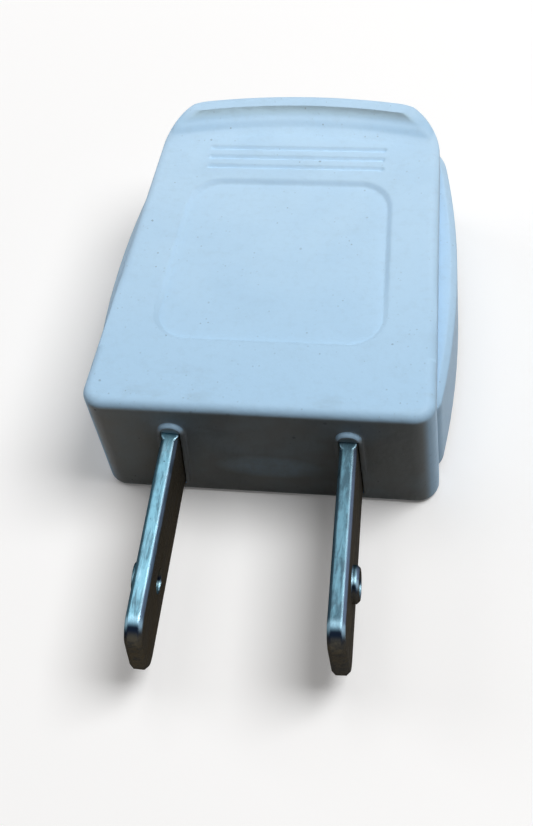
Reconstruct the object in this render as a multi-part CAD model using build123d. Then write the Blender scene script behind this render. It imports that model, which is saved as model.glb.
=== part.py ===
from build123d import *
import os
from math import sqrt

# A rewirable two-prong mains plug with flat parallel blades.
# All sizes are in millimetres.
# The origin is in the middle of the front face, half way between the two blades.
# -Y points out along the blades, +Y back to the cable inlet, +Z up through the finger grip.

# Blades
blade_pitch = 12.7
blade_height = 6.35
blade_thickness = 1.2
left_blade_reach = 15.8
right_blade_reach = 15.1
blade_tip_radius = 1.7
blade_edge_bevel = 0.25
blade_hole_diameter = 1.8
blade_hole_from_tip = 5.7
collar_width = 0.4
collar_height = 0.5
collar_bevel = 0.2

# How the worn blades lean in the wall and splay outside it, in degrees
left_blade_lean = 5.0
left_blade_splay = -0.6
right_blade_lean = 0.0
right_blade_splay = 2.9

# Terminal tongue, folded inward from the top of each blade's tail
tongue_inner_reach = 3.0
tongue_outer_reach = 2.8
tongue_neck_length = 4.0
tongue_length = 6.0
tongue_corner_radius = 0.6
tongue_stop_width = 1.2
tongue_pad_overlap = 1.0
tail_lift = 0.15

# Outside of the two shells
body_length = 29.0
front_width = 24.6
back_width = 21.1
back_crown_radius = 48.0
back_corner_radius = 3.9
front_corner_radius = 1.5
deck_height = 5.9
base_depth = 4.8
parting_height = 3.4
parting_gap = 0.15
top_edge_radius = 0.7
front_foot_radius = 0.5

# Finger grip along the back of the cover
grip_width = 3.2
grip_rise = 1.3
grip_crest_width = 1.35

# Side swell of the lower shell
swell_front_width = 24.5
swell_widest_width = 25.6
swell_widest_from_front = 9.8
swell_corner_radius = 1.3
swell_top_bevel = 0.45
inner_corner_radius = 0.4
foot_radius = 1.0

# Walls and clearances
front_wall = 2.4
top_wall = 1.6
floor_wall = 1.5
housing_wall = 1.6
housing_front_gap = 0.1
front_return = 1.0
lip_thickness = 0.8
lip_depth = 0.9
lip_clearance = 0.25
fit_gap = 0.1

# Blade slots and the raised rims round them
slot_clearance = 0.1
rim_side = 0.22
rim_end = 0.75
rim_height = 0.35
rim_bevel = 0.16

# Sunken panel and grooves in the top face, with walls that slope out by so many degrees
panel_front = 6.15
panel_back = 20.85
panel_border = 3.75
panel_depth = 0.3
panel_slope = 50.0
panel_corner_radius = 2.3
groove_count = 3
groove_pitch = 0.965
groove_last = 24.35
groove_length = 13.3
groove_floor_width = 0.12
groove_depth = 0.2
groove_slope = 40.0

# Cable inlet
inlet_diameter = 5.8
inlet_height = -0.2

# Screw through the middle and its nut
housing_screw_from_front = 16.6
housing_screw_diameter = 3.0
housing_head_diameter = 5.6
housing_head_height = 1.9
head_recess_depth = 2.3
housing_boss_diameter = 8.0
boss_joint_height = -0.8
nut_across_flats = 5.5
nut_height = 2.4
nut_end_reach = 0.95
screw_hole_clearance = 0.2

# Terminal screws and washers
terminal_diameter = 3.0
terminal_length = 4.0
terminal_head_diameter = 5.2
terminal_head_height = 1.9
terminal_washer_diameter = 5.6
terminal_washer_thickness = 0.6
terminal_end_clearance = 0.25

# Cord clamp
clamp_from_front = 23.2
clamp_screw_pitch = 11.2
clamp_end_reach = 1.9
clamp_bar_width = 4.0
clamp_bar_thickness = 1.2
clamp_arch_radius = 4.0
clamp_arch_rise = 0.5
clamp_skin = 1.1
clamp_post_diameter = 4.2
clamp_screw_diameter = 2.5
clamp_screw_length = 5.5
clamp_head_diameter = 4.4
clamp_head_height = 1.4

# Shared screw details
driver_slot_width = 0.7
driver_slot_depth = 0.8
head_edge_bevel = 0.35
thread_bite = 0.05

# Worked out from the sizes above
back_corner_depth = back_crown_radius - sqrt(back_crown_radius**2 - (back_width / 2) ** 2)
back_corner_from_front = body_length - back_corner_depth
crown_centre = body_length - back_crown_radius
ceiling_height = deck_height - top_wall
floor_height = -base_depth + floor_wall
cover_foot = parting_height + parting_gap
housing_front = front_wall + housing_front_gap
lip_inset = housing_wall + lip_clearance
cover_wall = lip_inset + lip_thickness
washer_bottom = ceiling_height - terminal_end_clearance - terminal_length
tongue_bottom = washer_bottom + terminal_washer_thickness
tongue_top = tongue_bottom + blade_thickness
screw_seat = -base_depth + head_recess_depth
nut_bottom = boss_joint_height + fit_gap / 2
housing_screw_length = nut_bottom + nut_height + nut_end_reach - screw_seat
clamp_pilot_top = deck_height - clamp_skin
clamp_bar_bottom = clamp_pilot_top - fit_gap - clamp_screw_length
clamp_seat_height = clamp_bar_bottom + clamp_bar_thickness
clamp_bar_length = clamp_screw_pitch + 2 * clamp_end_reach
tail_start = front_wall + fit_gap
tongue_start = tail_start + tongue_neck_length
tongue_end = tongue_start + tongue_length
tongue_centre = tongue_start + tongue_length / 2
terminal_reach = (tongue_outer_reach - tongue_inner_reach) / 2


def block(low, high):
    """A box between two opposite corners."""
    size = [high[axis] - low[axis] for axis in range(3)]
    middle = [(high[axis] + low[axis]) / 2 for axis in range(3)]
    return Pos(*middle) * Box(*size)


def rod(x, y, bottom, top, diameter):
    """An upright cylinder between two heights."""
    return Pos(x, y, (bottom + top) / 2) * Cylinder(diameter / 2, top - bottom)


def upright(sketch, bottom, top):
    """A plan outline raised from one height to another."""
    return extrude(Pos(0, 0, bottom) * sketch, top - bottom)


def cover_plan():
    """Plan of the cover: straight sides that close in toward a crowned back."""
    front = front_width / 2
    back = back_width / 2
    sides = Polyline(
        (-back, back_corner_from_front), (-front, 0), (front, 0), (back, back_corner_from_front)
    )
    crown = ThreePointArc(
        (back, back_corner_from_front), (0, body_length), (-back, back_corner_from_front)
    )
    plan = make_face(sides + crown)
    corners = plan.vertices().group_by(Axis.Y)
    plan = fillet(corners[0], front_corner_radius)
    corners = plan.vertices().filter_by(lambda v: abs(v.Y - back_corner_from_front) < 1e-3)
    return fillet(corners, back_corner_radius)


def housing_plan(inset):
    """Plan of the lower shell, drawn in by an inset: its sides swell past the cover's."""
    front = swell_front_width / 2 - inset
    widest = swell_widest_width / 2 - inset
    back = back_width / 2 - inset
    front_end = housing_front + inset
    back_end = back_corner_from_front - inset
    front_edge = Line((-front, front_end), (front, front_end))
    right_side = ThreePointArc((front, front_end), (widest, swell_widest_from_front), (back, back_end))
    crown = ThreePointArc((back, back_end), (0, body_length - inset), (-back, back_end))
    left_side = ThreePointArc(
        (-back, back_end), (-widest, swell_widest_from_front), (-front, front_end)
    )
    plan = make_face(front_edge + right_side + crown + left_side)
    corners = plan.vertices().group_by(Axis.Y)
    plan = fillet(corners[0], max(swell_corner_radius - inset, inner_corner_radius))
    corners = plan.vertices().filter_by(lambda v: abs(v.Y - back_end) < 1e-3)
    return fillet(corners, back_corner_radius - inset)


def behind(sketch, start):
    """The part of a plan that lies behind a distance from the front face."""
    depth = body_length
    return sketch & Pos(0, start + depth / 2) * Rectangle(2 * front_width, depth)


def grip_solid():
    """Everything under the top skin: a flat deck that scoops up to a crest at the crowned back.

    The skin is turned about the centre of the back's crown, so the scoop starts further forward
    at the two sides than in the middle.
    """
    back = back_crown_radius
    crest_height = deck_height + grip_rise
    crest_start = back - grip_crest_width
    scoop_start = back - grip_width
    scoop_run = crest_start - scoop_start
    scoop_mid = (scoop_start + scoop_run * 0.62, deck_height + grip_rise * 0.3)
    skin = Polyline(
        (scoop_start, deck_height), (0, deck_height), (0, -base_depth), (back, -base_depth),
        (back, crest_height), (crest_start, crest_height),
    )
    scoop = ThreePointArc((crest_start, crest_height), scoop_mid, (scoop_start, deck_height))
    profile = Plane.XZ * make_face(skin + scoop)
    return Pos(0, crown_centre, 0) * revolve(profile, Axis.Z, 360)


def top_cover():
    """Upper shell with the front wall, the finger grip, the panel and the inner posts."""
    plan = cover_plan()
    hull = upright(plan, -base_depth, deck_height + grip_rise) & grip_solid()
    crest = [edge for edge in hull.edges() if edge.center().Z > deck_height - 1e-3]
    crest = [edge for edge in crest if is_outer_edge(edge)]
    hull = fillet(crest, top_edge_radius)
    under = behind(Rectangle(2 * front_width, 4 * body_length), front_wall)
    hull -= upright(under, -base_depth, cover_foot)
    foot = hull.edges().filter_by(Axis.X).group_by(Axis.Z)[0].sort_by(Axis.Y)[0]
    hull = fillet(foot, front_foot_radius)
    hull -= upright(behind(offset(plan, -cover_wall), front_wall), cover_foot, ceiling_height)
    lip = behind(offset(plan, -lip_inset), housing_front + lip_clearance + housing_wall)
    lip -= behind(offset(plan, -cover_wall), 0)
    lip -= Pos(0, body_length) * Rectangle(inlet_diameter + 2 * lip_clearance, body_length / 2)
    hull += upright(lip, cover_foot - lip_depth, ceiling_height)
    hull += cover_posts()
    hull -= nut_pocket()
    for side, lean in ((-1, left_blade_lean), (1, right_blade_lean)):
        hull += slot_rim(side, lean)
        hull -= blade_slot(side, lean)
        hull -= clamp_pilot(side)
    hull -= panel_recess(plan)
    for step in range(groove_count):
        hull -= groove(groove_last - step * groove_pitch)
    return hull


def is_outer_edge(edge):
    """True for an edge of the top skin that runs round the cover's outline."""
    scoop_line = back_crown_radius - grip_width
    crest_line = back_crown_radius - grip_crest_width
    ends = [edge.position_at(0), edge.position_at(0.5), edge.position_at(1)]
    for radius in (scoop_line, crest_line):
        gaps = [abs(sqrt(p.X**2 + (p.Y - crown_centre) ** 2) - radius) for p in ends]
        if max(gaps) < 1e-3:
            return False
    return True


def cover_posts():
    """Boss for the nut, two posts for the cord clamp and the stops that hold the blades."""
    posts = rod(0, housing_screw_from_front, boss_joint_height, ceiling_height, housing_boss_diameter)
    for side in (-1, 1):
        post_x = side * clamp_screw_pitch / 2
        posts += rod(post_x, clamp_from_front, clamp_seat_height, ceiling_height, clamp_post_diameter)
        posts += blade_stop(side)
    return posts


def blade_stop(side):
    """A rib under the top that keeps a blade's tongue from rising or sliding back."""
    middle = side * (blade_pitch / 2 + terminal_reach)
    half = tongue_inner_reach / 2
    pad_start = tongue_end - tongue_pad_overlap
    stop_end = tongue_end + fit_gap + tongue_stop_width
    far_corner = (middle + half, stop_end, ceiling_height)
    pad = block((middle - half, pad_start, tongue_top + fit_gap), far_corner)
    stop = block((middle - half, tongue_end + fit_gap, tongue_bottom), far_corner)
    return pad + stop


def nut_pocket():
    """Hexagonal pocket in the boss, with room above for the screw's end."""
    across = nut_across_flats + 2 * fit_gap
    hexagon = RegularPolygon(across / 2, 6, major_radius=False)
    place = Pos(0, housing_screw_from_front, 0)
    pocket = place * upright(hexagon, boss_joint_height, boss_joint_height + nut_height + fit_gap)
    hole = housing_screw_diameter + 2 * screw_hole_clearance
    return pocket + rod(0, housing_screw_from_front, boss_joint_height, ceiling_height, hole)


def clamp_pilot(side):
    """Blind hole that a clamp screw bites into."""
    pilot = clamp_screw_diameter + 2 * thread_bite
    middle = side * clamp_screw_pitch / 2
    return rod(middle, clamp_from_front, clamp_seat_height, clamp_pilot_top, pilot)


def blade_place(side, lean):
    """Where a blade crosses the front wall: leaned about its own length."""
    return Pos(side * blade_pitch / 2, 0, 0) * Rot(0, lean, 0)


def blade_slot(side, lean):
    """Opening in the front wall that a blade passes through."""
    half_width = blade_thickness / 2 + slot_clearance
    half_height = blade_height / 2 + slot_clearance
    far_corner = (half_width, front_wall, half_height)
    return blade_place(side, lean) * block((-half_width, -rim_height, -half_height), far_corner)


def slot_rim(side, lean):
    """Raised rim with round ends that stands out of the front face round a blade."""
    width = blade_thickness + 2 * slot_clearance + 2 * rim_side
    height = blade_height + 2 * slot_clearance + 2 * rim_end
    outline = Plane.XZ * Rot(0, 0, 90) * SlotOverall(height, width)
    rim = extrude(outline, rim_height) + extrude(outline, -front_wall / 2)
    rim = chamfer(rim.edges().group_by(Axis.Y)[0], rim_bevel)
    return blade_place(side, lean) * rim


def panel_recess(plan):
    """Shallow sunken panel with sloping walls, whose sides follow the sides of the cover."""
    field = offset(plan, -panel_border)
    length = panel_back - panel_front
    field &= Pos(0, panel_front + length / 2) * Rectangle(2 * front_width, length)
    field = fillet(field.vertices(), panel_corner_radius)
    return flared(field, panel_depth, panel_slope)


def groove(from_front):
    """One shallow groove across the top, with sloping walls and round ends."""
    floor = Pos(0, from_front) * SlotOverall(groove_length, groove_floor_width)
    return flared(floor, groove_depth, groove_slope)


def flared(floor, depth, slope):
    """A cutter that widens upward from a floor below the deck to the same height above it."""
    return extrude(Pos(0, 0, deck_height - depth) * floor, 2 * depth, taper=-slope)


def bottom_housing():
    """Lower shell with swelling sides, the cable inlet and the boss for the screw."""
    shell = upright(housing_plan(0), -base_depth, parting_height)
    rims = shell.edges().group_by(Axis.Z)
    shell = fillet(rims[0], foot_radius)
    rims = shell.edges().group_by(Axis.Z)
    shell = chamfer(rims[-1], swell_top_bevel)
    cavity = housing_plan(housing_wall) + open_front()
    shell -= upright(cavity, floor_height, parting_height)
    boss_top = boss_joint_height - fit_gap
    shell += rod(0, housing_screw_from_front, -base_depth, boss_top, housing_boss_diameter)
    hole = housing_screw_diameter + 2 * screw_hole_clearance
    shell -= rod(0, housing_screw_from_front, -base_depth, boss_top, hole)
    recess = housing_head_diameter + 2 * screw_hole_clearance
    shell -= rod(0, housing_screw_from_front, -base_depth, screw_seat, recess)
    inlet = Pos(0, body_length, inlet_height) * Rot(90, 0, 0) * Cylinder(inlet_diameter / 2, 4 * housing_wall)
    return shell - inlet


def open_front():
    """The gap between the two front returns, where the blades' tails come in."""
    half = swell_front_width / 2 - housing_wall - front_return
    depth = 2 * housing_wall + swell_corner_radius
    return Pos(0, housing_front + depth / 2) * Rectangle(2 * half, depth)


def blade(side, reach, lean, splay):
    """A flat blade with a collared hole and round tip corners, its tail folded into a tongue."""
    half = blade_thickness / 2
    low = -blade_height / 2
    high = blade_height / 2
    outside = Pos(0, -rim_height, 0)
    shank = block((-half, -rim_height, low), (half, tail_start, high))
    shank += outside * Cylinder(half, blade_height)
    shank += outside * Rot(0, 0, side * splay) * prong(side, reach - rim_height)
    middle = side * blade_pitch / 2
    tail_foot = floor_height + tail_lift
    tail = block((middle - half, tail_start, tail_foot), (middle + half, tongue_start, tongue_top))
    return blade_place(side, lean) * shank + tail + tongue(side)


def prong(side, length):
    """The part outside the wall: bevelled edges, and a hole drawn out into a collar."""
    half = blade_thickness / 2
    flat = Pos(0, -length / 2, 0) * Box(blade_thickness, length, blade_height)
    tip = flat.edges().filter_by(Axis.X).group_by(Axis.Y)[0]
    flat = fillet(tip, blade_tip_radius)
    outline = [edge for edge in flat.edges() if abs(abs(edge.center().X) - half) < 1e-3]
    outline = [edge for edge in outline if edge.center().Y < -1e-3]
    flat = chamfer(outline, blade_edge_bevel)
    collar = Cylinder(blade_hole_diameter / 2 + collar_width, half + collar_height)
    collar = chamfer(collar.edges().group_by(Axis.Z)[-1], collar_bevel)
    collar = Pos(side * (half + collar_height) / 2, 0, 0) * Rot(0, side * 90, 0) * collar
    hole_place = Pos(0, blade_hole_from_tip - length, 0)
    hole = Rot(0, 90, 0) * Cylinder(blade_hole_diameter / 2, 4 * blade_thickness)
    return flat + hole_place * collar - hole_place * hole


def tongue(side):
    """The folded part: a flat neck along the tail and a wide end with the screw's hole."""
    middle = side * blade_pitch / 2
    inner = middle - side * tongue_inner_reach
    outer = middle + side * tongue_outer_reach
    edge = middle + side * blade_thickness / 2
    points = [
        (inner, tail_start), (edge, tail_start), (edge, tongue_start), (outer, tongue_start),
        (outer, tongue_end), (inner, tongue_end),
    ]
    plan = make_face(Polyline(*points, close=True))
    ends = plan.vertices().group_by(Axis.Y)[-1]
    plan = fillet(ends, tongue_corner_radius)
    hole = Pos(middle + side * terminal_reach, tongue_centre) * Circle(terminal_diameter / 2 + thread_bite)
    return upright(plan - hole, tongue_bottom, tongue_top)


def slotted_screw(shank_diameter, length, head_diameter, head_height):
    """A screw with a bevelled head below the origin, a driver slot and a shank above it."""
    head = Pos(0, 0, -head_height / 2) * Cylinder(head_diameter / 2, head_height)
    head = chamfer(head.edges().group_by(Axis.Z)[0], head_edge_bevel)
    cut_middle = -head_height + driver_slot_depth / 2
    head -= Pos(0, 0, cut_middle) * Box(2 * head_diameter, driver_slot_width, driver_slot_depth)
    shank = Pos(0, 0, length / 2) * Cylinder(shank_diameter / 2, length)
    shank = chamfer(shank.edges().group_by(Axis.Z)[-1], head_edge_bevel)
    return head + shank


def terminal_screw(side):
    """Screw that comes up through washer and tongue and holds a wire."""
    place = Pos(side * (blade_pitch / 2 + terminal_reach), tongue_centre, washer_bottom)
    return place * slotted_screw(
        terminal_diameter, terminal_length, terminal_head_diameter, terminal_head_height
    )


def terminal_washer(side):
    """Washer between the screw's head and the tongue."""
    place = Pos(side * (blade_pitch / 2 + terminal_reach), tongue_centre, washer_bottom)
    ring = Circle(terminal_washer_diameter / 2) - Circle(terminal_diameter / 2 + thread_bite)
    return place * extrude(ring, terminal_washer_thickness)


def cord_clamp():
    """Flat bar with an arched middle that presses the cord, held by a screw at each end."""
    outline = SlotOverall(clamp_bar_length, clamp_bar_width)
    for side in (-1, 1):
        hole = clamp_screw_diameter / 2 + screw_hole_clearance
        outline -= Pos(side * clamp_screw_pitch / 2, 0) * Circle(hole)
    bar = upright(outline, clamp_bar_bottom, clamp_seat_height)
    arch_centre = clamp_seat_height + clamp_arch_radius - clamp_arch_rise
    bar -= Pos(0, 0, arch_centre) * Rot(90, 0, 0) * Cylinder(clamp_arch_radius, 2 * clamp_bar_width)
    return Pos(0, clamp_from_front, 0) * bar


def clamp_screw(side):
    """Screw that comes up through an end of the bar into its post."""
    place = Pos(side * clamp_screw_pitch / 2, clamp_from_front, clamp_bar_bottom)
    return place * slotted_screw(
        clamp_screw_diameter, clamp_screw_length, clamp_head_diameter, clamp_head_height
    )


def housing_screw():
    """Screw that comes up from the underside and pulls the shells together."""
    place = Pos(0, housing_screw_from_front, screw_seat)
    return place * slotted_screw(
        housing_screw_diameter, housing_screw_length, housing_head_diameter, housing_head_height
    )


def housing_nut():
    """Hexagonal nut in the cover's boss."""
    hexagon = RegularPolygon(nut_across_flats / 2, 6, major_radius=False)
    hexagon -= Circle(housing_screw_diameter / 2 + thread_bite)
    place = Pos(0, housing_screw_from_front, 0)
    return place * upright(hexagon, nut_bottom, nut_bottom + nut_height)


def main():
    """Write each piece of the plug to its own file."""
    nodes = {
        "top_cover": top_cover(),
        "bottom_housing": bottom_housing(),
        "left_blade": blade(-1, left_blade_reach, left_blade_lean, left_blade_splay),
        "right_blade": blade(1, right_blade_reach, right_blade_lean, right_blade_splay),
        "left_terminal_screw": terminal_screw(-1),
        "right_terminal_screw": terminal_screw(1),
        "left_terminal_washer": terminal_washer(-1),
        "right_terminal_washer": terminal_washer(1),
        "cord_clamp": cord_clamp(),
        "left_clamp_screw": clamp_screw(-1),
        "right_clamp_screw": clamp_screw(1),
        "housing_screw": housing_screw(),
        "housing_nut": housing_nut(),
    }
    os.makedirs("parts", exist_ok=True)
    for name, shape in nodes.items():
        export_step(shape, f"parts/{name}.step")


main()
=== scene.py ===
"""The looks of a two-prong plug: pale moulded shells, plated blades, and a plain pale studio."""

from math import cos, pi, radians, sin

import bpy
import numpy as np
from bpy.props import FloatProperty, FloatVectorProperty, PointerProperty
from mathutils import Matrix, Vector


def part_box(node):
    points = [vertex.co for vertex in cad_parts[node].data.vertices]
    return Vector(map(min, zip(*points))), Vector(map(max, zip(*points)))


bl_info = {
    "name": "Two-prong plug looks",
    "version": (1, 0, 0),
    "blender": (4, 5, 0),
    "location": "3D View > Sidebar > Plug",
    "description": "Dresses the plug's shells, blades and screws, and sets the stage round it",
    "category": "Object",
}

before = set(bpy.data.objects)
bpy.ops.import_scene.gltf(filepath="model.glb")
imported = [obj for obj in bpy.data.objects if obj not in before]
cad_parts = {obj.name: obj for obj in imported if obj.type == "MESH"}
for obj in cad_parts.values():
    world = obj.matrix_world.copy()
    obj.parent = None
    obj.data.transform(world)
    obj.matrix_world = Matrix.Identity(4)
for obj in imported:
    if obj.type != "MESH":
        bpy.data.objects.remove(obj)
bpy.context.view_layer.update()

MM = 0.001

# The photograph's size in pixels, and the camera's sensor and clipping distances
PHOTO_WIDTH = 533
PHOTO_HEIGHT = 826
SENSOR = 36.0
NEAREST = 0.001
FARTHEST = 20.0

SHELLS = ("top_cover", "bottom_housing")
BLADES = ("left_blade", "right_blade")
TERMINALS = (
    "left_terminal_screw", "right_terminal_screw", "left_terminal_washer", "right_terminal_washer",
)
FASTENERS = ("housing_screw", "housing_nut", "left_clamp_screw", "right_clamp_screw")
CLAMP = ("cord_clamp",)

# Bands over which a mask on the shells goes from 0 to 1, in millimetres on the plug. y runs back
# from the front face, z runs up, and the deck lies at z = 5.9.
FRONT_FACE_Y = (0.1, 0.5)
NEAR_FRONT_Y = (-1.0, 5.0)
DECK_Y = (-4.0, 24.0)
GROOVES_Y = (21.0, 21.3)
LEFT_END_X = (-12.0, -3.0)
SUNKEN_FLOORS_Z = (5.4, 5.5)
SUNKEN_TOPS_Z = (6.0, 6.1)
HOLLOW_FOOT_Z = (5.93, 6.15)
HOLLOW_TOP_Z = (6.5, 7.15)
GRIP_SLOPE_Z = (6.05, 6.7)
GRIP_STEEP_Z = (6.45, 6.8)
RIM_FLANKS_Y = (-0.04, 0.0)
RIM_TOPS_Z = (2.9, 3.3)

# The painted reflection, a lighter patch on the front face: its middle and its half size across and
# up, in millimetres
PATCH_X, PATCH_Z = 0.4, -1.0
PATCH_HALF_X, PATCH_HALF_Z = 4.0, 1.5

# Bands of a surface's direction over which it counts as facing backwards, or as level
FACES_BACK = (0.05, 0.3)
FACES_UP = (0.05, 0.45)
GRIP_FACES_UP = (0.55, 0.85)

# The band across the middle, in millimetres, where the left blade's finish turns to the right one's
BLADE_TO_BLADE_X = (-2.0, 2.0)

# Depths of the fine relief, in metres
PEEL_DEPTH = 0.00002
GRAIN_DEPTH = 0.000003
STREAK_DEPTH = 0.00003
SCRATCH_DEPTH = 0.000008
TURNING_DEPTH = 0.000004

PLASTIC_IOR = 1.49
PLASTIC_SHINE = 0.25
BRASS_ROUGHNESS = 0.25
SCREW_ROUGHNESS = 0.28
CLAMP_ROUGHNESS = 0.34

# The floor's half width in metres, and the light that it adds to itself far away
FLOOR_REACH = 1.5
FLOOR_ROUGHNESS = 0.9
FAR_GLOW = (0.95, 0.95, 0.95)
NO_GLOW = (0.0, 0.0, 0.0)

# Where each lamp hangs, as a direction from the plug's middle
KEY_DIRECTION = (0.47, 0.10, 0.88)
TOP_DIRECTION = (-0.20, 0.20, 0.96)
SIDE_DIRECTION = (-0.86, 0.20, 0.47)

# A Mix node's sockets for its first value, its second value and its result
MIX_SOCKETS = {"VECTOR": (4, 5, 1), "RGBA": (6, 7, 2)}


def colour_setting(name, description, default):
    """A colour that the user can pick."""
    return FloatVectorProperty(
        name=name, description=description, default=default, subtype="COLOR", size=3,
        min=0.0, max=1.0,
    )


class CameraSettings(bpy.types.PropertyGroup):
    """Where the photograph was taken from."""

    eye: FloatVectorProperty(
        name="Eye", description="Place of the camera's eye", subtype="XYZ", unit="LENGTH",
        size=3, precision=5, default=(0.018043, -0.05398, 0.086127),
    )
    azimuth: FloatProperty(
        name="Azimuth", description="Turn to the right of the blades' direction",
        subtype="ANGLE", default=radians(17.534),
    )
    elevation: FloatProperty(
        name="Elevation", description="Height of the view over the floor",
        subtype="ANGLE", default=radians(54.814),
    )
    roll: FloatProperty(
        name="Roll", description="Turn of the picture about its middle",
        subtype="ANGLE", default=radians(-11.619),
    )
    focal_pixels: FloatProperty(
        name="Focal length", description="Focal length in pixels of the photograph",
        default=1465.123, min=100.0,
    )


class PlasticSettings(bpy.types.PropertyGroup):
    """Colours and marks of the moulded shells."""

    body: colour_setting("Body", "Colour of the clean plastic", (0.56, 0.78, 0.98))
    shade: colour_setting("Shade", "Colour of its faintly darker clouds", (0.50, 0.72, 0.93))
    # Painted shade: the deck darker towards the front, and in the grip's hollow
    painted_shade: colour_setting("Soiled", "Colour of the deck towards the front", (0.45, 0.68, 0.90))
    # Painted light on the slope up to the grip's crest
    pale: colour_setting("Pale", "Colour of the slope up to the grip's crest", (0.60, 0.85, 1.0))
    # Painted shade on the front face
    painted_front_shade: colour_setting("Wall", "Colour of the soiled front face", (0.27, 0.30, 0.31))
    # Painted light: less of the front face's painted shade at its left end
    painted_front_shade_left: colour_setting("Wall's left", "Colour of its left end", (0.56, 0.60, 0.60))
    grime: colour_setting("Grime", "Colour of smudges and scuffs", (0.30, 0.40, 0.46))
    speck: colour_setting("Speck", "Colour of the small dark specks", (0.10, 0.13, 0.15))
    cloud_size: FloatProperty(
        name="Cloud size", description="Width of the faint clouds", unit="LENGTH", default=0.006,
    )
    speck_spacing: FloatProperty(
        name="Speck spacing", description="Mean distance between specks", unit="LENGTH",
        default=0.00105,
    )
    softening: FloatProperty(
        name="Edge softening", description="Radius to which the moulded edges are softened",
        unit="LENGTH", precision=5, default=0.00032,
    )
    panel_front: FloatProperty(
        name="Panel's front", description="How far back the panel's step has run out",
        unit="LENGTH", default=0.0065,
    )
    panel_full: FloatProperty(
        name="Panel's full step", description="How far back the panel's step has its full depth",
        unit="LENGTH", default=0.0135,
    )
    grip_roll: FloatProperty(
        name="Grip roll", description="How far the slope up to the grip's crest is softened",
        default=0.9, min=0.0, max=1.0,
    )
    gloss: FloatProperty(
        name="Roughness", description="Roughness of the clean plastic", default=0.42,
        min=0.0, max=1.0,
    )


class MetalSettings(bpy.types.PropertyGroup):
    """Colours of the blades, screws and washers."""

    plating: colour_setting("Plating", "Colour of the blades' plating", (0.17, 0.33, 0.39))
    # Streaks and mottle on the blades and screws, and also painted shade on the blades' left bevels
    tarnish_and_shade: colour_setting("Tarnish", "Colour of its dark streaks", (0.035, 0.06, 0.075))
    # Painted dark reflection on the blades' sides and ends
    painted_reflection: colour_setting("Rubbed", "Colour of the dull sides and ends", (0.075, 0.064, 0.047))
    # Brighter plating in random patches, and also the painted highlights on the blades' right
    # corners and tips
    bright: colour_setting("Bright", "Colour of plating rubbed bright", (0.45, 0.66, 0.75))
    # Painted reflection on the blades' right bevels
    bevel: colour_setting("Bevel", "Colour of the blades' right bevels", (0.13, 0.15, 0.21))
    # Painted dark reflection on the blades' rounded tips
    painted_tip_reflection: colour_setting("Nose", "Colour of the blades' rounded tips", (0.010, 0.015, 0.026))
    grazing: colour_setting("Grazing", "Tint of sides seen edge on", (0.16, 0.13, 0.10))
    brass: colour_setting("Brass", "Colour of the terminals", (0.72, 0.55, 0.26))
    zinc: colour_setting("Zinc", "Colour of the plated screws and clamp", (0.56, 0.57, 0.58))
    blade_softening: FloatProperty(
        name="Blade edge softening", description="Radius to which the blades' edges are softened",
        unit="LENGTH", precision=5, default=0.0002,
    )
    streak_width: FloatProperty(
        name="Streak width", description="Width of a streak across the blade", unit="LENGTH",
        precision=5, default=0.00035,
    )


class StageSettings(bpy.types.PropertyGroup):
    """Light and floor."""

    floor: colour_setting("Floor", "Colour of the floor as seen", (0.985, 0.985, 0.985))
    glow: colour_setting("Glow", "Light that the near floor adds to itself", (0.10, 0.10, 0.10))
    bounce: colour_setting("Bounce", "Floor's colour in the plug's light", (0.05, 0.038, 0.028))
    backdrop: colour_setting("Backdrop", "Colour beyond the floor as seen", (0.97, 0.97, 0.97))
    sky: colour_setting("Sky", "Colour of the sky as seen in the metal", (0.72, 0.86, 1.0))
    ambient: colour_setting("Ambient", "Light from all round", (0.035, 0.028, 0.022))
    distance: FloatProperty(
        name="Lamp distance", description="Distance of each lamp from the plug", unit="LENGTH",
        default=0.42,
    )
    softness: FloatProperty(
        name="Lamp size", description="Side of each square lamp", unit="LENGTH", default=0.24,
    )
    key_light: FloatProperty(
        name="Key", description="Light of the lamp over the plug's right side, on a facing sheet",
        default=0.78,
    )
    top_light: FloatProperty(
        name="Top", description="Light of the lamp overhead, on a facing sheet", default=0.18,
    )
    side_light: FloatProperty(
        name="Side", description="Light of the lamp at the left, on a facing sheet", default=0.18,
    )


class Value:
    """A socket that carries a number, with Python's operators for its maths."""

    def __init__(self, nodes, socket):
        self.nodes = nodes
        self.socket = socket

    def math(self, operation, first, second=None):
        """The result of a Math node on one or two numbers."""
        inputs = (first,) if second is None else (first, second)
        made = self.nodes.node("ShaderNodeMath", {"operation": operation}, *inputs)
        return Value(self.nodes, made.outputs[0])

    def __add__(self, other):
        return self.math("ADD", self, other)

    def __radd__(self, other):
        return self.math("ADD", other, self)

    def __sub__(self, other):
        return self.math("SUBTRACT", self, other)

    def __rsub__(self, other):
        return self.math("SUBTRACT", other, self)

    def __mul__(self, other):
        return self.math("MULTIPLY", self, other)

    def __rmul__(self, other):
        return self.math("MULTIPLY", other, self)

    def __truediv__(self, other):
        return self.math("DIVIDE", self, other)

    def __rtruediv__(self, other):
        return self.math("DIVIDE", other, self)

    def __pow__(self, other):
        return self.math("POWER", self, other)

    def __abs__(self):
        return self.math("ABSOLUTE", self)

    def most(self, other):
        """The greater of this and another."""
        return self.math("MAXIMUM", self, other)

    def rise(self, low, high):
        """0 below low, 1 above high, and a smooth step between them."""
        settings = {"interpolation_type": "SMOOTHSTEP"}
        made = self.nodes.node("ShaderNodeMapRange", settings, self, low, high, 0.0, 1.0)
        return Value(self.nodes, made.outputs[0])


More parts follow.
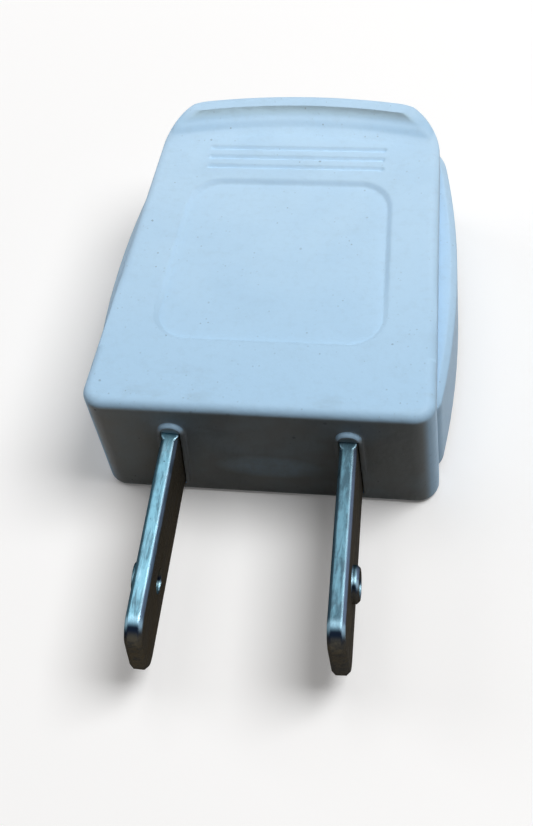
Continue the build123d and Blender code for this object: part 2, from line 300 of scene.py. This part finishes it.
class Nodes:
    """A node tree and the few calls that wire it up."""

    def __init__(self, tree):
        self.tree = tree

    def feed(self, socket, value):
        """Sets a socket to a plain value, or links it."""
        if isinstance(value, Value):
            value = value.socket
        if isinstance(value, bpy.types.NodeSocket):
            self.tree.links.new(value, socket)
        elif hasattr(socket.default_value, "__len__") and len(socket.default_value) == 4:
            socket.default_value = (*value, 1.0)
        else:
            socket.default_value = value

    def node(self, kind, settings=None, *inputs, **named):
        """A node of a kind, with its settings set first and then its sockets."""
        made = self.tree.nodes.new(kind)
        for key, value in (settings or {}).items():
            setattr(made, key, value)
        for socket, value in zip(made.inputs, inputs):
            self.feed(socket, value)
        for key, value in named.items():
            self.feed(made.inputs[key.replace("_", " ")], value)
        return made

    def place(self, scale=(1.0, 1.0, 1.0), shift=(0.0, 0.0, 0.0)):
        """Object coordinates in millimetres, stretched and shifted."""
        coordinates = self.node("ShaderNodeTexCoord").outputs["Object"]
        mapped = self.node(
            "ShaderNodeMapping", {"vector_type": "POINT"}, coordinates, shift,
            Scale=tuple(s / MM for s in scale),
        )
        return mapped.outputs[0]

    def axes(self, vector):
        """The three numbers of a vector."""
        parts = self.node("ShaderNodeSeparateXYZ", None, vector)
        return [Value(self, socket) for socket in parts.outputs]

    def noise(self, vector, scale, detail=2.0, roughness=0.5, distortion=0.0):
        """Smooth noise from 0 to 1."""
        made = self.node(
            "ShaderNodeTexNoise", {"noise_dimensions": "3D"}, Vector=vector, Scale=scale,
            Detail=detail, Roughness=roughness, Distortion=distortion,
        )
        return Value(self, made.outputs[0])

    def cells(self, vector, scale):
        """Distance to the nearest scattered point, and three random numbers for that point."""
        made = self.node("ShaderNodeTexVoronoi", {"feature": "F1"}, Vector=vector, Scale=scale)
        return Value(self, made.outputs["Distance"]), self.axes(made.outputs["Color"])

    def between(self, kind, share, first, second):
        """What lies between two vectors or colours, the first at a share of 0, the second at 1."""
        start, end, result = MIX_SOCKETS[kind]
        made = self.node("ShaderNodeMix", {"data_type": kind}, share)
        self.feed(made.inputs[start], first)
        self.feed(made.inputs[end], second)
        return made.outputs[result]

    def mix(self, share, first, second):
        """A colour that goes from the first to the second as the share goes from 0 to 1."""
        return self.between("RGBA", share, first, second)

    def blend(self, share, first, second):
        """A direction that turns from the first to the second as the share goes from 0 to 1."""
        between = self.between("VECTOR", share, first, second)
        return self.node("ShaderNodeVectorMath", {"operation": "NORMALIZE"}, between).outputs[0]

    def direction(self, x, y, z):
        """A fixed direction."""
        return self.node("ShaderNodeCombineXYZ", None, x, y, z).outputs[0]

    def soft_edges(self, radius):
        """The surface's normal with its edges rounded to a radius."""
        return self.node("ShaderNodeBevel", {"samples": 6}, radius).outputs[0]

    def facing_along(self):
        """How far the surface faces along each axis, from -1 to 1."""
        return self.axes(self.node("ShaderNodeTexCoord").outputs["Normal"])

    def bump(self, height, depth, under=None):
        """A normal that leans with a height, given in units of depth."""
        made = self.node("ShaderNodeBump", None, Strength=1.0, Distance=depth, Height=height)
        if under is not None:
            self.feed(made.inputs["Normal"], under)
        return made.outputs[0]


class Surface(Nodes):
    """A material with one main shader."""

    def __init__(self, name):
        self.material = bpy.data.materials.new(name)
        self.material.use_nodes = True
        super().__init__(self.material.node_tree)
        self.tree.nodes.clear()
        output = self.tree.nodes.new("ShaderNodeOutputMaterial")
        self.shader = self.tree.nodes.new("ShaderNodeBsdfPrincipled")
        self.tree.links.new(self.shader.outputs[0], output.inputs["Surface"])

    def finish(self, **sockets):
        """Feeds the main shader's sockets by name, and gives the material."""
        for key, value in sockets.items():
            self.feed(self.shader.inputs[key.replace("_", " ")], value)
        return self.material


def shell_normal(surface, settings):
    """The moulding's softened edges.

    Grooves and the panel's step are shallow and soft, and the step runs out towards the front and
    turns up to level there. The slope up to the finger grip's crest rolls softly, and the sides of
    the rims round the blades melt into the front face.
    """
    _, y, z = surface.axes(surface.place())
    right, back, _ = surface.facing_along()
    inner = (1.0 - back.rise(*FACES_BACK)) * (1.0 - abs(right).rise(0.75, 0.95))
    normal = surface.soft_edges(settings.softening)
    start, full = settings.panel_front / MM, settings.panel_full / MM
    sunken = z.rise(*SUNKEN_FLOORS_Z) * (1.0 - z.rise(*SUNKEN_TOPS_Z))
    sunken = sunken * y.rise(start - 1.6, start - 1.2)
    soft = 0.12 + 0.23 * y.rise(*GROOVES_Y)
    level = surface.direction(0.0, 0.0, 1.0)
    normal = surface.blend(sunken * soft.most(1.0 - y.rise(start, full)), normal, level)
    roll = surface.direction(0.35, 0.12, 0.93)
    normal = surface.blend(z.rise(*GRIP_SLOPE_Z) * inner * settings.grip_roll, normal, roll)
    rim = (1.0 - y.rise(*RIM_FLANKS_Y)) * (1.0 - z.rise(*RIM_TOPS_Z))
    return surface.blend(rim * 0.8, normal, surface.direction(0.0, -1.0, 0.0))


def plastic_material(settings):
    """Moulded plastic: faint clouds, a fine orange peel, smudges, scattered dark specks, and
    painted shade and light.
    """
    surface = Surface("shell_plastic")
    spot = surface.place()
    x, y, z = surface.axes(spot)
    _, back, up = surface.facing_along()
    clouds = surface.noise(spot, MM / settings.cloud_size, 3.0, 0.55)
    mottle = surface.noise(spot, 1.6, 3.0, 0.6)
    near_front = 1.0 - y.rise(*NEAR_FRONT_Y)
    front_face = (1.0 - y.rise(*FRONT_FACE_Y)) * (1.0 - up.rise(*FACES_UP))
    side = abs(x)

    colour = surface.mix(clouds.rise(0.35, 0.75) * 0.6, settings.body, settings.shade)
    # Painted shade: the deck darker towards the front
    colour = surface.mix(1.0 - y.rise(*DECK_Y), colour, settings.painted_shade)

    # Painted light makes the slope up to the grip's crest paler, and painted shade makes the hollow
    # at its foot a little darker, more so towards its ends
    inner = 1.0 - back.rise(*FACES_BACK)
    steep = z.rise(*GRIP_STEEP_Z) * (1.0 - up.rise(*GRIP_FACES_UP)) * inner
    colour = surface.mix(steep * 0.7, colour, settings.pale)
    hollow = z.rise(*HOLLOW_FOOT_Z) * (1.0 - z.rise(*HOLLOW_TOP_Z)) * inner
    hollow = hollow * (0.25 + 0.5 * (side / 9.0).rise(0.3, 0.9))
    colour = surface.mix(hollow, colour, settings.painted_shade)

    # Smudges, most of them near the front
    smudge = surface.noise(surface.place((0.45, 0.9, 0.9), (7.0, 3.0, 1.0)), 0.6, 4.0, 0.62)
    smudge = smudge.rise(0.50, 0.72) * (0.12 + 0.5 * near_front)
    colour = surface.mix(mottle.rise(0.45, 0.8) * 0.10, colour, settings.grime)
    colour = surface.mix(smudge * 0.45, colour, settings.grime)

    # Painted shade on the front face: it is painted dark, less so at its left end, with a lighter
    # painted reflection in its middle
    painted_front_shade = surface.mix(x.rise(*LEFT_END_X), settings.painted_front_shade_left, settings.painted_front_shade)
    colour = surface.mix(front_face * (0.8 + 0.2 * clouds.rise(0.35, 0.6)), colour, painted_front_shade)
    # Painted reflection: a lighter patch in the front face's middle
    across, upward = (x - PATCH_X) / PATCH_HALF_X, (z - PATCH_Z) / PATCH_HALF_Z
    painted_reflection = 1.0 - (across ** 2 + upward ** 2).rise(0.1, 1.1)
    colour = surface.mix(front_face * painted_reflection * (0.35 + 0.5 * mottle), colour, settings.body)

    # Fine dust in crowds, and single dark flecks of many sizes
    near, (share, width, strength) = surface.cells(spot, 2.2 * MM / settings.speck_spacing)
    crowd = surface.noise(surface.place(shift=(2.0, 8.0, 0.0)), 0.35, 2.0, 0.6)
    crowd = (crowd + 0.10 * near_front + 0.08 * (side / 12.0).rise(0.55, 1.0)).rise(0.46, 0.62)
    dust = (1.0 - near.rise(0.07, 0.20)) * share.rise(0.45, 0.5) * crowd
    colour = surface.mix(dust * (0.12 + 0.4 * strength * width), colour, settings.speck)
    distance, (chance, size, depth) = surface.cells(spot, MM / settings.speck_spacing)
    ragged = surface.noise(spot, 9.0, 2.0) * 0.10
    limit = 0.035 + 0.075 * size * size * size + 0.03 * near_front
    fleck = 1.0 - (distance + ragged - 0.05 - limit).rise(-0.03, 0.02)
    fleck = fleck * chance.rise(0.25, 0.30) * (0.25 + 0.75 * depth * depth)
    colour = surface.mix(fleck * 0.7, colour, settings.speck)

    peel = surface.noise(spot, 2.2, 2.0, 0.5)
    grain = surface.noise(spot, 14.0, 2.0, 0.6)
    normal = surface.bump(peel, PEEL_DEPTH, shell_normal(surface, settings))
    normal = surface.bump(grain, GRAIN_DEPTH, normal)
    roughness = settings.gloss + 0.14 * mottle + 0.2 * smudge + 0.2 * fleck
    return surface.finish(
        Base_Color=colour, Roughness=roughness, Normal=normal, IOR=PLASTIC_IOR,
        Specular_IOR_Level=PLASTIC_SHINE,
    )


def blade_material(settings):
    """Thin plating, dark streaks along it, and painted light: a painted reflection and painted
    shade on the bevels, painted highlights, and a painted dark reflection on the sides, ends and
    rounded tips.
    """
    surface = Surface("blade_metal")
    spot = surface.place()
    along = surface.place((1.0, 0.16, 1.0))
    x, _, _ = surface.axes(spot)
    soft = surface.soft_edges(settings.blade_softening)
    right, back, up = surface.axes(soft)
    left, ahead = 0.0 - right, 0.0 - back
    right_blade = x.rise(*BLADE_TO_BLADE_X)

    streak = surface.noise(along, MM / settings.streak_width, 4.0, 0.65, 0.6)
    blotch = surface.noise(spot, 0.55, 4.0, 0.65)
    patch = surface.noise(surface.place((1.0, 0.5, 1.0), (5.0, 2.0, 0.0)), 1.5, 4.0, 0.7, 0.5)
    scratch = surface.noise(surface.place((1.0, 0.03, 1.0), (3.0, 1.0, 2.0)), 9.0, 2.0, 0.7)
    distance, (chance, _, _) = surface.cells(spot, 1.5)
    pit = (1.0 - distance.rise(0.05, 0.13)) * chance.rise(0.55, 0.6)

    # The plating on the upper edges, with the right blade's more tarnished
    tarnish_and_shade = streak * 0.5 + blotch * 0.25 + patch * 0.35 + 0.05 * right_blade
    tarnish_and_shade = tarnish_and_shade.rise(0.49, 0.69)
    bright = (patch * 0.6 + scratch * 0.4).rise(0.50, 0.68)
    colour = surface.mix(bright * 0.5, settings.plating, settings.bright)
    colour = surface.mix(right_blade * 0.42, colour, settings.tarnish_and_shade)
    colour = surface.mix(tarnish_and_shade * 0.75, colour, settings.tarnish_and_shade)
    colour = surface.mix(scratch.rise(0.58, 0.7) * 0.4, colour, settings.tarnish_and_shade)
    colour = surface.mix(pit * 0.7, colour, settings.tarnish_and_shade)

    # The bevels beside it: a painted reflection on the right bevels and painted shade on the left
    # ones, and a painted highlight along its right corner
    slope = 1.0 - up.rise(0.80, 0.90)
    colour = surface.mix(slope * right.rise(0.2, 0.5) * 0.8, colour, settings.bevel)
    colour = surface.mix(slope * left.rise(0.2, 0.5) * 0.8, colour, settings.tarnish_and_shade)
    painted_corner_highlight = up.rise(0.80, 0.88) * (1.0 - up.rise(0.93, 0.985)) * right.rise(0.1, 0.3)
    colour = surface.mix(painted_corner_highlight * 0.8, colour, settings.bright)

    # A painted highlight on the tip's upper corner, then a painted dark reflection round the tip,
    # and a painted dark reflection on the sides and ends
    colour = surface.mix(ahead.rise(0.05, 0.25) * 0.4, colour, settings.bright)
    colour = surface.mix(ahead.rise(0.30, 0.55), colour, settings.painted_tip_reflection)
    painted_dark = surface.mix(tarnish_and_shade * 0.4, settings.painted_reflection, settings.painted_tip_reflection)
    painted_dark = surface.mix(streak.rise(0.66, 0.85) * 0.12, painted_dark, settings.plating)
    painted_dark_faces = (1.0 - up.rise(0.2, 0.6)).most(ahead.rise(0.62, 0.85))
    colour = surface.mix(painted_dark_faces, colour, painted_dark)

    normal = surface.bump(streak, STREAK_DEPTH, soft)
    normal = surface.bump(scratch, SCRATCH_DEPTH, normal)
    roughness = 0.28 + 0.20 * tarnish_and_shade + 0.12 * blotch + 0.22 * painted_dark_faces
    return surface.finish(
        Base_Color=colour, Metallic=1.0, Roughness=roughness, Normal=normal,
        Specular_Tint=settings.grazing,
    )


def small_metal(name, colour, tarnish_and_shade, roughness):
    """Turned or stamped metal with a light mottle."""
    surface = Surface(name)
    mottle = surface.noise(surface.place(), 1.8, 4.0, 0.6)
    turning = surface.noise(surface.place((1.0, 1.0, 6.0)), 3.0, 2.0, 0.5)
    tone = surface.mix(mottle.rise(0.45, 0.8) * 0.4, colour, tarnish_and_shade)
    return surface.finish(
        Base_Color=tone, Metallic=1.0, Roughness=roughness + 0.15 * mottle,
        Normal=surface.bump(turning, TURNING_DEPTH),
    )


def dress(nodes, material):
    """Gives CAD nodes one material."""
    for name in nodes:
        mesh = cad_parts[name].data
        mesh.materials.clear()
        mesh.materials.append(material)


def facing(azimuth, elevation, roll):
    """Turn of a camera: columns are its right, its up and its back."""
    forward = Vector((
        -sin(azimuth) * cos(elevation), cos(azimuth) * cos(elevation), -sin(elevation)
    ))
    level = Vector((cos(azimuth), sin(azimuth), 0.0))
    upright = level.cross(forward)
    right = level * cos(roll) + upright * sin(roll)
    up = upright * cos(roll) - level * sin(roll)
    return Matrix((right, up, -forward)).transposed()


def ray_shares(nodes):
    """1 for rays from the camera, reflections and refractions, and 1 for the camera's alone."""
    path = nodes.node("ShaderNodeLightPath")
    camera, glossy, transmission = [Value(nodes, path.outputs[name]) for name in (
        "Is Camera Ray", "Is Glossy Ray", "Is Transmission Ray"
    )]
    return camera.most(glossy).most(transmission), camera


def floor_sheet(height, stage):
    """A flat sheet, level with the plug's underside: (u, v) to (u, v, height).

    u and v go from minus to plus the floor's reach. What is seen of it is pale, and glows more
    with distance, where the lamps' light falls off. What it throws on the plug is dark and warm.
    """
    u, v = np.meshgrid([-FLOOR_REACH, FLOOR_REACH], [-FLOOR_REACH, FLOOR_REACH])
    points = np.stack([u.ravel(), v.ravel(), np.full(u.size, height)], axis=1)
    mesh = bpy.data.meshes.new("floor")
    mesh.from_pydata(points.tolist(), [], [(0, 1, 3, 2)])
    floor = bpy.data.objects.new("floor", mesh)
    bpy.context.scene.collection.objects.link(floor)
    surface = Surface("floor")
    seen, _ = ray_shares(surface)
    colour = surface.mix(seen, stage.bounce, stage.floor)
    x, y, _ = surface.axes(surface.node("ShaderNodeTexCoord").outputs["Object"])
    lit = 1.0 / (1.0 + (x * x + y * y) / stage.distance ** 2) ** 2.0
    glow = surface.mix(seen, NO_GLOW, surface.mix(lit, FAR_GLOW, stage.glow))
    mesh.materials.append(surface.finish(
        Base_Color=colour, Roughness=FLOOR_ROUGHNESS, Specular_IOR_Level=0.0,
        Emission_Color=glow, Emission_Strength=1.0,
    ))
    return floor


def lamp(name, direction, light, stage):
    """A square soft lamp in a direction from the plug's middle, that looks at it.

    A lamp of power P at distance d lights a facing sheet so that a colour c renders as
    c P / (pi d)^2, so the power is worked out from the wanted light.
    """
    data = bpy.data.lights.new(name, "AREA")
    data.shape = "SQUARE"
    data.size = stage.softness
    data.energy = light * (pi * stage.distance) ** 2
    made = bpy.data.objects.new(name, data)
    bpy.context.scene.collection.objects.link(made)
    aim = Vector(direction).normalized()
    middle = sum(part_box("top_cover"), Vector()) / 2
    made.location = middle + aim * stage.distance
    made.rotation_euler = aim.to_track_quat("Z", "Y").to_euler()


def sky(scene, stage):
    """A pale backdrop for the camera, a sky for reflections, and a dim light on the plug."""
    world = bpy.data.worlds.new("sky")
    world.use_nodes = True
    scene.world = world
    nodes = Nodes(world.node_tree)
    seen, camera = ray_shares(nodes)
    around = nodes.mix(seen, stage.ambient, stage.sky)
    background = world.node_tree.nodes["Background"]
    nodes.feed(background.inputs["Color"], nodes.mix(camera, around, stage.backdrop))
    background.inputs["Strength"].default_value = 1.0


def settings_of(context):
    """All of this file's settings."""
    return context.scene.plug


class PLUG_OT_camera(bpy.types.Operator):
    """Place the camera where the photograph was taken"""

    bl_idname = "plug.camera"
    bl_label = "Camera"

    def execute(self, context):
        place = settings_of(context).camera
        data = bpy.data.cameras.new("photo_camera")
        camera = bpy.data.objects.new("photo_camera", data)
        context.scene.collection.objects.link(camera)
        turn = facing(place.azimuth, place.elevation, place.roll)
        camera.matrix_world = Matrix.Translation(Vector(place.eye)) @ turn.to_4x4()
        data.sensor_fit = "AUTO"
        data.sensor_width = SENSOR
        data.lens = place.focal_pixels / max(PHOTO_WIDTH, PHOTO_HEIGHT) * SENSOR
        data.clip_start = NEAREST
        data.clip_end = FARTHEST
        context.scene.camera = camera
        return {"FINISHED"}


class PLUG_OT_stage(bpy.types.Operator):
    """Lay the floor, hang the lamps and set the sky"""

    bl_idname = "plug.stage"
    bl_label = "Stage"

    def execute(self, context):
        stage = settings_of(context).stage
        low = min(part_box(name)[0].z for name in SHELLS)
        floor_sheet(low, stage)
        lamp("key_lamp", KEY_DIRECTION, stage.key_light, stage)
        lamp("top_lamp", TOP_DIRECTION, stage.top_light, stage)
        lamp("side_lamp", SIDE_DIRECTION, stage.side_light, stage)
        sky(context.scene, stage)
        context.scene.view_settings.view_transform = "Standard"
        return {"FINISHED"}


class PLUG_OT_shells(bpy.types.Operator):
    """Give the two shells their moulded plastic"""

    bl_idname = "plug.shells"
    bl_label = "Shells"

    def execute(self, context):
        dress(SHELLS, plastic_material(settings_of(context).plastic))
        return {"FINISHED"}


class PLUG_OT_blades(bpy.types.Operator):
    """Give the two blades their streaked plating"""

    bl_idname = "plug.blades"
    bl_label = "Blades"

    def execute(self, context):
        dress(BLADES, blade_material(settings_of(context).metal))
        return {"FINISHED"}


class PLUG_OT_terminals(bpy.types.Operator):
    """Give the terminal screws and washers their brass"""

    bl_idname = "plug.terminals"
    bl_label = "Terminals"

    def execute(self, context):
        metal = settings_of(context).metal
        dress(TERMINALS, small_metal("terminal_brass", metal.brass, metal.tarnish_and_shade, BRASS_ROUGHNESS))
        return {"FINISHED"}


class PLUG_OT_fasteners(bpy.types.Operator):
    """Give the screws, the nut and the cord clamp their zinc"""

    bl_idname = "plug.fasteners"
    bl_label = "Fasteners and clamp"

    def execute(self, context):
        metal = settings_of(context).metal
        dress(FASTENERS, small_metal("screw_steel", metal.zinc, metal.tarnish_and_shade, SCREW_ROUGHNESS))
        dress(CLAMP, small_metal("clamp_steel", metal.zinc, metal.tarnish_and_shade, CLAMP_ROUGHNESS))
        return {"FINISHED"}


class PlugSettings(bpy.types.PropertyGroup):
    """Every setting of the plug."""

    camera: PointerProperty(type=CameraSettings)
    plastic: PointerProperty(type=PlasticSettings)
    metal: PointerProperty(type=MetalSettings)
    stage: PointerProperty(type=StageSettings)


OPERATORS = (
    PLUG_OT_camera, PLUG_OT_stage, PLUG_OT_shells, PLUG_OT_blades, PLUG_OT_terminals,
    PLUG_OT_fasteners,
)
GROUPS = ("camera", "plastic", "metal", "stage")


class PLUG_PT_panel(bpy.types.Panel):
    """Every step and setting of the plug's looks"""

    bl_label = "Two-prong plug"
    bl_idname = "PLUG_PT_panel"
    bl_space_type = "VIEW_3D"
    bl_region_type = "UI"
    bl_category = "Plug"

    def draw(self, context):
        for operator in OPERATORS:
            self.layout.operator(operator.bl_idname)
        for name in GROUPS:
            group = getattr(settings_of(context), name)
            box = self.layout.box()
            for key in group.__annotations__:
                box.prop(group, key)


CLASSES = (
    CameraSettings, PlasticSettings, MetalSettings, StageSettings, PlugSettings, *OPERATORS,
    PLUG_PT_panel,
)


def register():
    """Makes the settings, the steps and the panel known."""
    for cls in CLASSES:
        bpy.utils.register_class(cls)
    bpy.types.Scene.plug = PointerProperty(type=PlugSettings)


def unregister():
    """Takes them out again."""
    del bpy.types.Scene.plug
    for cls in reversed(CLASSES):
        bpy.utils.unregister_class(cls)


def main():
    """Takes every step in order."""
    register()
    bpy.ops.plug.camera()
    bpy.ops.plug.stage()
    bpy.ops.plug.shells()
    bpy.ops.plug.blades()
    bpy.ops.plug.terminals()
    bpy.ops.plug.fasteners()


if __name__ == "__main__":
    main()
